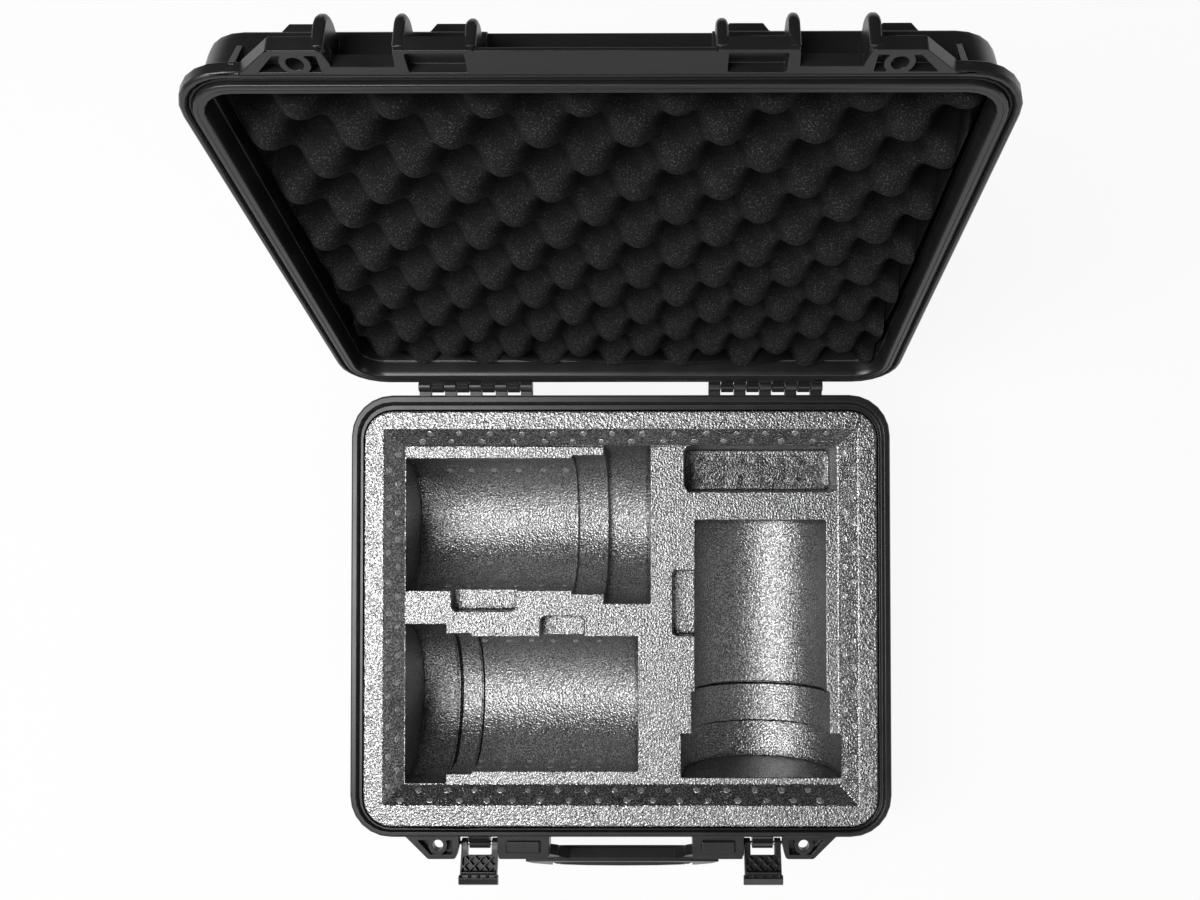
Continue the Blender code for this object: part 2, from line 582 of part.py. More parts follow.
def build_lid(mat):
    p = PARTING
    g = PARTING_GAP / 2
    s = INNER_SHIFT
    top = p + LID_HEIGHT
    groove = SEAL_INSET
    roof = top - LID_ROOF
    side = 3.4 * MM
    loops = [rim_loop(22 * MM, top, 0, side), rim_loop(11.5 * MM, top, 0, side),
             rim_loop(9 * MM, top - 0.6 * MM, 0, side), rim_loop(7.5 * MM, top - 2.2 * MM, 0, side),
             rim_loop(6.9 * MM, top - 6 * MM, 0, side),
             rim_loop(6.4 * MM, p + 9.6 * MM, 0, 0.6 * side), rim_loop(1.2 * MM, p + 8.2 * MM),
             rim_loop(0, p + 7.2 * MM), rim_loop(0, p + 1.4 * MM), rim_loop(1.2 * MM, p + g),
             rim_loop(3.0 * MM, p + g), rim_loop(groove - 1.3 * MM, p + 1.5 * MM),
             rim_loop(groove - 1.1 * MM, p + 2.9 * MM), rim_loop(groove + 1.1 * MM, p + 2.9 * MM),
             rim_loop(groove + 1.2 * MM, p - 0.6 * MM), rim_loop(groove + 1.8 * MM, p - 1.3 * MM),
             rim_loop(9.3 * MM, p - 1.3 * MM), rim_loop(9.8 * MM, p - 0.9 * MM),
             rim_loop(10.4 * MM, p - 1.2 * MM), rim_loop(12.5 * MM, p - 1.2 * MM),
             rim_loop(13.2 * MM, p - 0.4 * MM, s / 2), rim_loop(14.2 * MM, p + 2.8 * MM, s),
             rim_loop(14.7 * MM, p + 10.6 * MM, s), rim_loop(15.5 * MM, p + 11.2 * MM, s),
             rim_loop(16.9 * MM, roof - 3.8 * MM, s), rim_loop(20 * MM, roof - 0.4 * MM, s),
             rim_loop(26 * MM, roof, s)]
    lid = loft("lid", loops)

    low = p + 0.3 * MM
    flange = p + FLANGE_LID
    for side in (list, mirrored):
        add(lid, prism("lug", side(lug_outline(LID_FLANGE_Y, LUG_SPREAD)), low, flange))
        add(lid, prism("block", side(plate_outline(LID_FLANGE_Y)), low, flange))
    # rim between the blocks and across the latch gaps
    half, rail = CHEEK_IN + 1.0 * MM, LID_FLANGE_Y + 0.4 * MM
    add(lid, prism("rail", rounded([(half, ROOT_Y), (half, rail), (-half, rail), (-half, ROOT_Y)],
                                   [0, 1 * MM, 1 * MM, 0]), low, p + 2.6 * MM))
    for sign in (1, -1):
        add_lid_fittings(lid, sign)

    padlock_holes(lid, p - 3 * MM, p + 10 * MM)
    near, far = KEY_Y + KEY_DEPTH / 2 + 2.4 * MM, KEY_Y - KEY_DEPTH / 2 - WINDOW_AIR
    taper = 0.3 * MM
    niche = top + RIB_HEIGHT
    wall = FRONT + 7.3 * MM
    cut(lid, prism("niche", [(FRONT - 1 * MM, p + 18.6 * MM), (wall, p + 18.6 * MM),
                             (wall + NICHE_DEPTH, p + 22.6 * MM), (wall + NICHE_DEPTH, niche),
                             (FRONT - 1 * MM, niche)], -NICHE_HALF, NICHE_HALF, "X"))
    for sign in (1, -1):
        lo, hi = spread(sign, KEY_IN - WINDOW_AIR, KEY_OUT + WINDOW_AIR)
        cut(lid, loft("window", [
            pocket_loop(lo, hi, far, near, 1.4 * MM, p - 2 * MM, 2),
            pocket_loop(lo + taper, hi - taper, far + taper, near - taper, 1.2 * MM,
                        p + WINDOW_DEPTH, 2)]))
    hinge_bores(lid)
    for pocket in lug_pockets(LID_FLANGE_Y, LUG_SPREAD, p - 2 * MM, p + 5.6 * MM):
        cut(lid, pocket)
    return finish(lid, "lid_shell", mat)


# ---- foam ---------------------------------------------------------------------------
def tube_cutter(radius, start, end, centre, along, top, draft=0.02):
    """Half-round bedding with straight sides above its axis, lying along X or Y."""
    axis = PARTING - TUBE_AXIS_DROP
    section = [(radius, top)] + arc(0, axis, radius, 0, -180, 18) + [(-radius, top)]
    loops = []
    for end_point, sign in ((start, 1), (end, -1)):
        loop = []
        for q, z in section:
            a = end_point + sign * draft * (top - z)
            loop.append((a, centre + q, z) if along == "X" else (centre + q, a, z))
        loops.append(loop)
    return loft("tube", loops)


def pocket_cutter(x0, x1, y0, y1, radius, depth, draft=0.08):
    floor = PARTING - DECK_DROP - depth
    lip = PARTING - DECK_DROP + 3 * MM
    d = draft * depth
    return loft("pocket", [pocket_loop(x0 + d, x1 - d, y0 + d, y1 - d, radius * 0.7, floor),
                           pocket_loop(x0 + d * 0.6, x1 - d * 0.6, y0 + d * 0.6, y1 - d * 0.6,
                                       radius, floor + 2 * MM),
                           pocket_loop(x0, x1, y0, y1, radius, lip)])


def build_tray(mat):
    p = PARTING
    s = INNER_SHIFT
    t = TRAY_INSET
    tray = loft("tray", [rim_loop(27.5 * MM, 6.0 * MM, s), rim_loop(20.4 * MM, 7.6 * MM, s),
                         rim_loop(16.4 * MM, 14.4 * MM, s), rim_loop(t + 1.5 * MM, p - 13 * MM, s),
                         rim_loop(t + 0.2 * MM, p - 7 * MM, TRAY_SHIFT),
                         rim_loop(t, p - TRAY_TOP_DROP - 1.2 * MM, TRAY_SHIFT),
                         rim_loop(t + 1.2 * MM, p - TRAY_TOP_DROP, TRAY_SHIFT)])
    deck = p - DECK_DROP
    over = 3 * MM
    grow = RECESS_SLOPE * (DECK_DROP + over) / (DECK_DROP - TRAY_TOP_DROP)
    cut(tray, loft("recess", [
        [(-DECK_X - w, DECK_FRONT - w, z), (DECK_X + w, DECK_FRONT - w, z),
         (DECK_X + w, DECK_BACK + w, z), (-DECK_X - w, DECK_BACK + w, z)]
        for w, z in ((0, deck), (grow, p + over))]))
    top = deck + 3.5 * MM
    left = -DECK_X
    # radius, start and end along the tube: rear left, front left (both lying left to right), right
    rear = ((52.7, 0, 138.9), (55.4, 133.7, 163.9), (63.0, 159.2, 196.2))
    front = ((63.2, 0, 33.5), (55.7, 28.9, 53.8), (53.5, 48.9, 186.2))
    side = ((52.2, 68.4, 209.6), (55.0, 35.4, 73.2), (63.4, 5.2, 39.8))
    for radius, start, end in rear:
        cut(tray, tube_cutter(radius * MM, left + start * MM, left + end * MM, TUBE_REAR_Y, "X", top))
    for radius, start, end in front:
        cut(tray, tube_cutter(radius * MM, left + start * MM, left + end * MM, TUBE_FRONT_Y, "X", top))
    for radius, start, end in side:
        cut(tray, tube_cutter(radius * MM, DECK_FRONT + start * MM, DECK_FRONT + end * MM,
                              TUBE_SIDE_X, "Y", top))
    # accessory pocket and finger slots beside the tubes
    cut(tray, pocket_cutter(DECK_X - 122.8 * MM, DECK_X, DECK_BACK - 36.4 * MM, DECK_BACK + 0.7 * MM,
                            6 * MM, POCKET_DEPTH))
    lower, upper = TUBE_REAR_Y - 69.1 * MM, TUBE_FRONT_Y + 69.6 * MM
    cut(tray, pocket_cutter(left + 37.3 * MM, left + 89.1 * MM, lower, lower + 24.5 * MM,
                            4 * MM, SLOT_DEPTH))
    cut(tray, pocket_cutter(left + 108.2 * MM, left + 143.7 * MM, upper - 23.9 * MM, upper,
                            4 * MM, SLOT_DEPTH))
    cut(tray, pocket_cutter(TUBE_SIDE_X - 70.5 * MM, TUBE_SIDE_X - 44.8 * MM, DECK_FRONT + 117.4 * MM,
                            DECK_FRONT + 169.8 * MM, 4 * MM, SLOT_DEPTH))
    return finish(tray, "foam_tray", mat)


def build_lid_foam(mat):
    """Convoluted sheet: a flat back against the lid and staggered pyramids facing the tray."""
    top = PARTING + LID_HEIGHT
    back = top + 2 * MM
    roof = top - LID_ROOF
    seat = roof - FIT
    parts = 6                     # steps across one wave
    nx = 2 * math.ceil((RIM_X / 2 + 2 * MM) / (CRATE_PITCH_X / parts))
    ny = 2 * math.ceil((RIM_Y / 2 + 14 * MM) / (CRATE_PITCH_Y / parts))
    spin = Matrix.Rotation(CRATE_TURN, 2)
    verts, faces = [], []
    for j in range(ny + 1):
        for i in range(nx + 1):
            a, b = i - nx // 2, j - ny // 2
            wave = math.cos(2 * math.pi * a / parts) * math.cos(2 * math.pi * b / parts)
            x, y = spin @ Vector((a * CRATE_PITCH_X / parts, b * CRATE_PITCH_Y / parts))
            verts.append((x + CRATE_X, y + CRATE_Y, seat - CRATE_MID - CRATE_WAVE * wave))
    count = len(verts)
    border = ([(i, 0) for i in range(nx)] + [(nx, j) for j in range(ny)]
              + [(i, ny) for i in range(nx, 0, -1)] + [(0, j) for j in range(ny, 0, -1)])
    for i, j in border:
        verts.append((*verts[j * (nx + 1) + i][:2], back))

    def at(i, j):
        return j * (nx + 1) + i

    for j in range(ny):
        for i in range(nx):
            quad = (at(i, j), at(i + 1, j), at(i + 1, j + 1), at(i, j + 1))
            if (i + j) % 2:
                faces += [(quad[0], quad[1], quad[2]), (quad[0], quad[2], quad[3])]
            else:
                faces += [(quad[0], quad[1], quad[3]), (quad[1], quad[2], quad[3])]
    total = len(border)
    for k in range(total):
        n = (k + 1) % total
        faces.append((at(*border[n]), at(*border[k]), count + k, count + n))
    faces.append([count + k for k in range(total)])
    crate = make("crate", verts, faces)
    room = loft("room", [rim_loop(15.6 * MM, PARTING - 4 * MM, INNER_SHIFT, 2.8 * MM),
                         rim_loop(17.6 * MM, roof - 4.0 * MM, INNER_SHIFT, 1.2 * MM),
                         rim_loop(20.7 * MM, roof - 0.9 * MM, INNER_SHIFT),
                         rim_loop(26.4 * MM, seat, INNER_SHIFT)])
    combine(crate, room, "INTERSECT")
    return finish(crate, "foam_lid", mat, 50.0)


# ---- seal, pins, valve --------------------------------------------------------------
def build_seal(mat):
    """O-ring lying in the lid groove."""
    steps = 8
    height = PARTING + 1.75 * MM
    loops = []
    for k in range(steps):
        a = 2 * math.pi * k / steps
        inset = SEAL_INSET + SEAL_SECTION * math.cos(a)
        loops.append(rim_loop(inset, height + SEAL_SECTION * math.sin(a)))
    count = len(loops[0])
    verts = [q for loop in loops for q in loop]
    faces = []
    for k in range(steps):
        m = (k + 1) % steps
        for i in range(count):
            j = (i + 1) % count
            faces.append((k * count + i, k * count + j, m * count + j, m * count + i))
    return finish(make("seal", verts, faces), "lid_seal", mat, 180.0)


def build_pins(steel):
    """Steel pins of the hinges, the latches and the handle."""
    p = PARTING
    spans = knuckle_spans()
    half = LATCH_WIDTH / 2 + 5.0 * MM
    for sign, side in ((-1, "left"), (1, "right")):
        latch = sign * LATCH_X
        for name, radius, ends, y, z in (
                ("hinge_pin_", HINGE_PIN, spread(sign, spans[0][0] + 2 * MM, spans[-1][1] - 2 * MM),
                 HINGE_Y, p),
                ("latch_pin_", LATCH_PIN, (latch - half, latch + half),
                 LATCH_PIVOT_Y, p - LATCH_PIVOT_DROP),
                ("handle_pin_", HANDLE_PIN, spread(sign, ARM_IN - 2.2 * MM, ARM_OUT + 2.2 * MM),
                 HANDLE_PIVOT_Y, p - HANDLE_PIVOT_DROP)):
            finish(rod("pin", radius, *ends, y, z, steps=12, chamfer=0.3 * MM), name + side, steel)


def build_vent(plastic, rubber):
    """Pressure vent: headed plug through the front wall, with a flat seal under its head."""
    back = FRONT + wall_inset(VENT_Z + VENT_HEAD) - FIT
    rim = VENT_HEAD - 1.5 * MM
    seal = turned("seal", [(rim, 0), (rim, -VENT_SEAL)], back, VENT_Z)
    bore = VENT_BORE + FIT
    cut(seal, turned("bore", [(bore, 2 * MM), (bore, -4 * MM)], back, VENT_Z))
    plug = turned("plug", [(VENT_BORE - 1 * MM, 4.9 * MM), (VENT_BORE, 4.2 * MM), (VENT_BORE, 0),
                           (VENT_HEAD, 0), (VENT_HEAD, -2.4 * MM), (VENT_HEAD - 1.2 * MM, -3.6 * MM),
                           (VENT_HEAD - 4.5 * MM, -3.9 * MM), (VENT_HEAD - 5.1 * MM, -2.9 * MM)],
                  back - VENT_SEAL - FIT, VENT_Z)
    finish(plug, "vent_plug", plastic)
    finish(seal, "vent_seal", rubber)


# ---- latch --------------------------------------------------------------------------
def build_latch(side, mat):
    """Closed latch: stands up from its pin, lattice towards the case, lip at the top."""
    sign = 1 if side == "right" else -1
    c = sign * LATCH_X
    half = LATCH_WIDTH / 2
    py, pz = LATCH_PIVOT_Y, PARTING - LATCH_PIVOT_DROP

    def at(out, up):
        return (py - out * MM, pz + up * MM)

    arm = arc(py, pz, 3.9 * MM, -200, 20, 8) + [at(-2.2, 6.0), at(-2.2, 12.0), at(3.4, 12.0), at(3.9, 6.0)]
    latch = prism("arm", arm, c - half, c - half + LATCH_ARM, "X")
    add(latch, prism("plate", [at(-2.2, 9.0), at(-2.2, 25.4), at(3.2, 25.4), at(3.6, 14.0), at(3.6, 9.0)],
                     c - half, c + half, "X"))
    add(latch, prism("arm", arm, c + half - LATCH_ARM, c + half, "X"))
    start, end, reach = HOOK_START / MM, HOOK_END / MM, LATCH_REACH / MM
    hook = [at(-1.6, start - 1.2), at(-2.6, start - 0.6), at(-6.2, start), at(-6.2, start + 1.0),
            at(-3.4, end), at(-1.6, end)]
    add(latch, prism("hook", hook, c - half + 1.2 * MM, c + half - 1.2 * MM, "X"))
    lip = rounded([at(-1.2, end - 0.4), at(-2.2, end + 0.2), at(-3.0, reach - 4.6), at(-1.0, reach - 0.6),
                   at(1.6, reach), at(5.2, reach - 0.4), at(4.2, reach - 3.0), at(2.4, end - 0.4)],
                  [0, 0, 0.9 * MM, 0.9 * MM, 0, 0.9 * MM, 0, 0])
    add(latch, prism("lip", lip, c - half - LATCH_LIP, c + half + LATCH_LIP, "X"))
    # notches between the hook and the lip
    for k in range(4):
        x = c + (k - 1.5) * 6.9 * MM
        cut(latch, box("notch", x - 2.3 * MM, x + 2.3 * MM, py + 1.2 * MM, py + 9 * MM,
                       pz + HOOK_END - 0.3 * MM, pz + LATCH_REACH - 5.0 * MM))
    # diamond lattice sunk into the face that meets the case
    pitch = LATTICE_PITCH / 2
    web, margin = 0.85 * MM, 1.5 * MM
    for row in range(-1, 5):
        for col in range(-5, 6):
            if (row + col) % 2:
                continue
            cx, cz = c + col * pitch, pz + LATTICE_START + row * pitch
            reach = pitch - web
            cell = clipped([(cx - reach, cz), (cx, cz - reach), (cx + reach, cz), (cx, cz + reach)],
                           c - half + margin, c + half - margin,
                           pz + LATTICE_START, pz + LATTICE_END)
            if len(cell) > 2:
                cut(latch, prism("cell", cell, py - 1.4 * MM, py + 5 * MM, "Y"))
    cut(latch, rod("bore", LATCH_PIN + FIT, c - half - 2 * MM, c + half + 2 * MM, py, pz, steps=12))
    return finish(latch, "latch_" + side, mat)


# ---- handle -------------------------------------------------------------------------
def build_handle(plastic, rubber):
    """Hanging handle: frame with two wide arms, and a moulded-on grip round the bar."""
    py, pz = HANDLE_PIVOT_Y, PARTING - HANDLE_PIVOT_DROP
    end = pz - HANDLE_REACH
    gap = pz - HANDLE_GAP_REACH

    # front view of the frame, right half then mirrored
    arm = (ARM_IN + 0.2 * MM, ARM_OUT - 0.2 * MM)
    outer = [(arm[1], pz), (HANDLE_HALF + 4.0 * MM, pz - 16 * MM),
             (HANDLE_HALF, pz - 30 * MM), (HANDLE_HALF - 8 * MM, pz - 42 * MM),
             (HANDLE_HALF - 22 * MM, end + 3.2 * MM), (HANDLE_HALF - 36 * MM, end + 1.6 * MM)]
    inner = [(HANDLE_GAP_HALF - 8 * MM, gap), (HANDLE_GAP_HALF, gap + 7 * MM),
             (HANDLE_GAP_HALF + 0.6 * MM, pz - 20 * MM), (ARM_IN - 4 * MM, pz - 15.5 * MM),
             (arm[0], pz - 12.6 * MM)]
    outline = [(arm[0], pz)] + outer + [(-x, z) for x, z in outer[::-1]] + [(-arm[0], pz)]
    outline += [(-x, z) for x, z in inner[::-1]] + inner
    frame = prism("frame", outline, py - 4.2 * MM, py + 4.2 * MM, "Y")
    for sign in (1, -1):
        add(frame, rod("boss", 4.6 * MM, *spread(sign, *arm), py, pz, steps=16))
    # thicker bar below the finger opening
    bar = [(HANDLE_HALF - 4.4 * MM, gap - 1.6 * MM), (HANDLE_HALF - 9 * MM, pz - 41 * MM),
           (HANDLE_HALF - 23 * MM, end + 4.0 * MM)]
    bar_outline = ([(0, gap - 0.4 * MM), (HANDLE_GAP_HALF - 8 * MM, gap - 0.4 * MM)] + bar
                   + [(-x, z) for x, z in bar[::-1]] + [(-HANDLE_GAP_HALF + 8 * MM, gap - 0.4 * MM)])
    add(frame, prism("bar", bar_outline, py - 6.4 * MM, py + 6.4 * MM, "Y"))
    for sign in (1, -1):
        lo, hi = spread(sign, arm[0] - 2 * MM, arm[1] + 2 * MM)
        cut(frame, rod("bore", HANDLE_PIN + FIT, lo, hi, py, pz, steps=12))

    # seat for the grip, and the grip itself: a sleeve open towards the finger gap
    half, core = GRIP_HALF, HANDLE_CORE
    low, high = end + 1.6 * MM, gap - 6.2 * MM
    foot = low + 3.4 * MM
    for y0, y1 in ((py - 12 * MM, py - core), (py + core, py + 12 * MM)):
        cut(frame, box("seat", -half - FIT, half + FIT, y0, y1, end - 6 * MM, high + 0.9 * MM))
    cut(frame, box("seat", -half - FIT, half + FIT, py - 12 * MM, py + 12 * MM, end - 8 * MM, foot))
    loops = []
    for x, swell in ((-half, -1.4), (-half + 3 * MM, -0.4), (-half / 2, 0.3), (0, 0.5),
                     (half / 2, 0.3), (half - 3 * MM, -0.4), (half, -1.4)):
        deep, tall = 6.7 * MM + swell * MM, swell * MM
        section = rounded([(py - deep, high + tall), (py - deep, low - tall),
                           (py + deep, low - tall), (py + deep, high + tall)],
                          [2.0 * MM, 5.0 * MM, 5.0 * MM, 2.0 * MM])
        loops.append([(x, y, z) for y, z in section])
    grip = loft("grip", loops)
    cut(grip, box("slot", -half - 5 * MM, half + 5 * MM, py - core - FIT, py + core + FIT,
                  foot - FIT, high + 8 * MM))
    return finish(frame, "handle_frame", plastic), finish(grip, "handle_grip", rubber)


# ---- assembly -----------------------------------------------------------------------
def main():
    for ob in list(bpy.data.objects):
        bpy.data.objects.remove(ob, do_unlink=True)

    shell = material("moulded_plastic", (0.030, 0.031, 0.032), 0.48)
    bead = material("bead_foam", (0.42, 0.42, 0.41), 0.85)
    dark_foam = material("open_cell_foam", (0.020, 0.020, 0.021), 0.95)
    rubber = material("rubber", (0.018, 0.018, 0.018), 0.75)
    steel = material("steel", (0.56, 0.56, 0.55), 0.32, 1.0)

    build_base(shell)
    build_tray(bead)
    lid = build_lid(shell)
    lid_foam = build_lid_foam(dark_foam)
    seal = build_seal(rubber)
    build_pins(steel)
    build_vent(shell, rubber)
    left, right = build_latch("left", shell), build_latch("right", shell)
    frame, grip = build_handle(shell, rubber)

    latch_z = PARTING - LATCH_PIVOT_DROP
    hang("lid_axis", (0, HINGE_Y, PARTING), -LID_OPEN, [lid, lid_foam, seal])
    hang("latch_left_axis", (-LATCH_X, LATCH_PIVOT_Y, latch_z), LATCH_OPEN, [left])
    hang("latch_right_axis", (LATCH_X, LATCH_PIVOT_Y, latch_z), LATCH_OPEN, [right])
    hang("handle_axis", (0, HANDLE_PIVOT_Y, PARTING - HANDLE_PIVOT_DROP), -HANDLE_TILT, [frame, grip])


main()
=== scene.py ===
"""Looks of the telescope carry case: moulded shells with softened edges, bead foam tray with
steam marks, convoluted lid foam, latches, handle, hinges, floor, soft light and camera.
Lengths are metres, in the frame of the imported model.
"""
import math

import bmesh
import bpy
from mathutils import Matrix, Vector
from mathutils.bvhtree import BVHTree
from mathutils.geometry import delaunay_2d_cdt


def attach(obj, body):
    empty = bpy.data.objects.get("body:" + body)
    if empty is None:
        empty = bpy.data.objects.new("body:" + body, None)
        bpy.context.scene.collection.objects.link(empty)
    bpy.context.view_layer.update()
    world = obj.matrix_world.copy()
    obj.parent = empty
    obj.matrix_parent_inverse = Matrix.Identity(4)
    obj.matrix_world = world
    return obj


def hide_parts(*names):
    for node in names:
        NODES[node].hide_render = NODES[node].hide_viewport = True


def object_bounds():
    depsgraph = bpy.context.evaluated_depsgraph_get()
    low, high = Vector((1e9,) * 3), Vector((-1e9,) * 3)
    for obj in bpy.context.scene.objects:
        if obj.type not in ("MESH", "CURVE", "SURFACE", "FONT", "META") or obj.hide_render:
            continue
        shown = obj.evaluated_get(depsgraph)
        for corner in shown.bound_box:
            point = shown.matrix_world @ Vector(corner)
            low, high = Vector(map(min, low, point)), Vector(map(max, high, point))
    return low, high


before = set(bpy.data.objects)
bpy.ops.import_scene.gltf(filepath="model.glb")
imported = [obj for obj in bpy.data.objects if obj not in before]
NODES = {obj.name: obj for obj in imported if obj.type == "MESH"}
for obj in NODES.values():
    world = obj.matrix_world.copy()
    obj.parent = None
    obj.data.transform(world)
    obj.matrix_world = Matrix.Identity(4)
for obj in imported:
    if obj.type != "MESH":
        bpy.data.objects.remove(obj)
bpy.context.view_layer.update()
MM = 0.001
PARTING = 0.108
LID_OPEN = math.radians(-108.7)
HINGE = Vector((0.0, 0.17905, PARTING))

DECK = PARTING - 16 * MM                         # recessed deck of the tray
RECESS_RISE, RECESS_RUN = 13.8 * MM, 13.2 * MM   # its sloped walls
RECESS_FRONT, RECESS_BACK, RECESS_SIDE = -135.4 * MM, 132.9 * MM, 172.9 * MM    # their lower edges
BED_AXIS = PARTING - 24 * MM                     # axis of the tube beds
FRONT_BED, REAR_BED = -71.7 * MM, 70.6 * MM      # middle of the left beds, along Y
RIGHT_BED = 110.8 * MM                           # and of the right bed, along X
MARK_SLOT, POCKET_SHADE_SLOT, SHADE_LINE_SLOT = 1, 2, 3      # further material slots of the tray


# ---- shader helpers -----------------------------------------------------------------
class Graph:
    """A material's node tree, with short calls for the nodes used here."""

    def __init__(self, name, **shader):
        self.mat = bpy.data.materials.new(name)
        self.mat.use_nodes = True
        self.tree = self.mat.node_tree
        self.shader = self.tree.nodes["Principled BSDF"]
        for key, value in shader.items():
            self.shader.inputs[key.replace("_", " ")].default_value = value
        self.coords = self.tree.nodes.new("ShaderNodeTexCoord").outputs["Object"]

    def node(self, kind, inputs=(), **settings):
        node = self.tree.nodes.new("ShaderNode" + kind)
        for key, value in settings.items():
            setattr(node, key, value)
        for key, value in dict(inputs).items():
            self.plug(node.inputs[key], value)
        return node

    def plug(self, socket, value):
        if isinstance(value, bpy.types.NodeSocket):
            self.tree.links.new(value, socket)
        else:
            socket.default_value = value

    def noise(self, scale, detail=3.0, rough=0.55, vector=None):
        return self.node("TexNoise", {"Vector": vector or self.coords, "Scale": scale, "Detail": detail,
                                      "Roughness": rough}).outputs["Fac"]

    def cells(self, scale):
        return self.node("TexVoronoi", {"Vector": self.coords, "Scale": scale}).outputs["Distance"]

    def ramp(self, fac, *stops):
        node = self.node("ValToRGB", {"Fac": fac})
        elements = node.color_ramp.elements
        while len(elements) < len(stops):
            elements.new(0.5)
        for element, (place, colour) in zip(elements, stops):
            element.position = place
            if isinstance(colour, (int, float)):
                colour = (colour, colour, colour)
            element.color = (*colour, 1.0)
        return node.outputs["Color"]

    def math(self, operation, a, b):
        return self.node("Math", {0: a, 1: b}, operation=operation).outputs[0]

    def span(self, value, low, high, to_low, to_high):
        node = self.node("MapRange", {"Value": value, "From Min": low, "From Max": high,
                                      "To Min": to_low, "To Max": to_high})
        return node.outputs["Result"]

    def mix(self, fac, a, b, blend="MIX"):
        node = self.node("Mix", data_type="RGBA", blend_type=blend)
        self.plug(node.inputs["Factor"], fac)
        for name, value in (("A", a), ("B", b)):
            socket = [s for s in node.inputs if s.name == name and s.type == "RGBA"][0]
            if isinstance(value, tuple):
                value = (*value, 1.0)
            self.plug(socket, value)
        return [s for s in node.outputs if s.type == "RGBA"][0]

    def bump(self, height, distance, strength):
        inputs = {"Height": height, "Distance": distance, "Strength": strength}
        return self.node("Bump", inputs).outputs["Normal"]

    def finish(self, **sockets):
        for key, value in sockets.items():
            self.plug(self.shader.inputs[key.replace("_", " ")], value)
        return self.mat


def moulded_plastic():
    g = Graph("moulded_plastic", Specular_IOR_Level=0.5)
    patches = g.noise(38, 4, 0.6)
    grain = g.noise(2600, 2, 0.5)
    cells = g.cells(1500)
    rough = g.math("ADD", g.span(patches, 0.3, 0.7, 0.30, 0.37), g.span(grain, 0.3, 0.7, -0.03, 0.04))
    colour = g.ramp(patches, (0.3, (0.0092, 0.0094, 0.0096)), (0.7, (0.0135, 0.0137, 0.0140)))
    height = g.math("ADD", g.math("MULTIPLY", cells, 0.7), grain)
    normal = g.bump(height, 0.02 * MM, 0.4)
    return g.finish(Base_Color=colour, Roughness=rough, Normal=normal)


def bead_foam(name, low, high, **shader):
    """Expanded bead foam: domed beads that shine, dark pits between them, painted shade in nooks from an
    occlusion mask.
    """
    g = Graph(name, **shader)
    beads = g.cells(520)
    speck = g.noise(760, 1, 0.5)
    broad = g.noise(120, 3, 0.6)
    tone = g.math("ADD", g.math("MULTIPLY", speck, 0.85), g.math("MULTIPLY", broad, 0.15))
    tone = g.ramp(tone, (0.40, low), (0.50, 0.45 * (low + high)), (0.60, high))
    # painted shade: the colour is darkened where the occlusion mask finds surfaces close by
    occlusion_shade = g.node("AmbientOcclusion", {"Distance": 6 * MM}, samples=8).outputs["AO"]
    colour = g.mix(1.0, tone, g.ramp(occlusion_shade, (0.45, 0.16), (0.86, 1.0)), "MULTIPLY")
    height = g.math("ADD", g.math("MULTIPLY", beads, -0.35), g.math("MULTIPLY", speck, 1.0))
    normal = g.bump(height, 0.75 * MM, 1.0)
    return g.finish(Base_Color=colour, Roughness=g.span(broad, 0.3, 0.7, 0.28, 0.34), Normal=normal)


def open_cell_foam():
    """Dark open-cell foam: pale pores show on the crests, painted shade from an occlusion mask keeps the
    hollows dark.
    """
    g = Graph("open_cell_foam", Specular_IOR_Level=0.15)
    fine = g.noise(1250, 1, 0.5)
    broad = g.noise(60, 3, 0.6)
    skin = g.ramp(fine, (0.40, 0.005), (0.58, 0.011), (0.70, 0.085))
    tone = g.mix(0.3, skin, g.ramp(broad, (0.3, 0.009), (0.7, 0.016)))
    # painted shade: the colour is darkened deep in the hollows where the occlusion mask finds surfaces
    # close by
    occlusion_shade = g.node("AmbientOcclusion", {"Distance": 24 * MM}, samples=8).outputs["AO"]
    colour = g.mix(1.0, tone, g.ramp(occlusion_shade, (0.42, 0.03), (0.64, 0.30), (0.82, 1.0)), "MULTIPLY")
    normal = g.bump(fine, 0.5 * MM, 1.0)
    return g.finish(Base_Color=colour, Roughness=g.span(fine, 0.3, 0.7, 0.75, 0.9), Normal=normal)


def rubber():
    g = Graph("rubber", Specular_IOR_Level=0.4)
    fine = g.noise(1400, 3, 0.6)
    broad = g.noise(70, 3, 0.5)
    colour = g.ramp(broad, (0.3, (0.010, 0.010, 0.0102)), (0.7, (0.016, 0.016, 0.0165)))
    normal = g.bump(fine, 0.03 * MM, 0.6)
    return g.finish(Base_Color=colour, Roughness=g.span(broad, 0.3, 0.7, 0.55, 0.68), Normal=normal)


def steel():
    g = Graph("steel", Metallic=1.0)
    stretch = g.node("Mapping", {"Vector": g.coords, "Scale": (30.0, 1.0, 1.0)}).outputs["Vector"]
    lines = g.noise(1800, 3, 0.6, vector=stretch)
    colour = g.ramp(lines, (0.3, (0.42, 0.42, 0.41)), (0.7, (0.56, 0.56, 0.55)))
    normal = g.bump(lines, 0.01 * MM, 0.4)
    return g.finish(Base_Color=colour, Roughness=g.span(lines, 0.3, 0.7, 0.24, 0.38), Normal=normal)


# ---- mesh helpers -------------------------------------------------------------------
def add_object(name, mesh):
    ob = bpy.data.objects.new(name, mesh)
    bpy.context.scene.collection.objects.link(ob)
    return ob


def baked(ob):
    """The object's mesh with its modifiers applied."""
    bpy.context.view_layer.update()
    graph = bpy.context.evaluated_depsgraph_get()
    mesh = bpy.data.meshes.new_from_object(ob.evaluated_get(graph), depsgraph=graph)
    ob.modifiers.clear()
    ob.data = mesh
    return ob


def surface_of(mesh):
    """Search tree of the mesh's surface."""
    return BVHTree.FromPolygons([v.co for v in mesh.vertices], [tuple(p.vertices) for p in mesh.polygons])


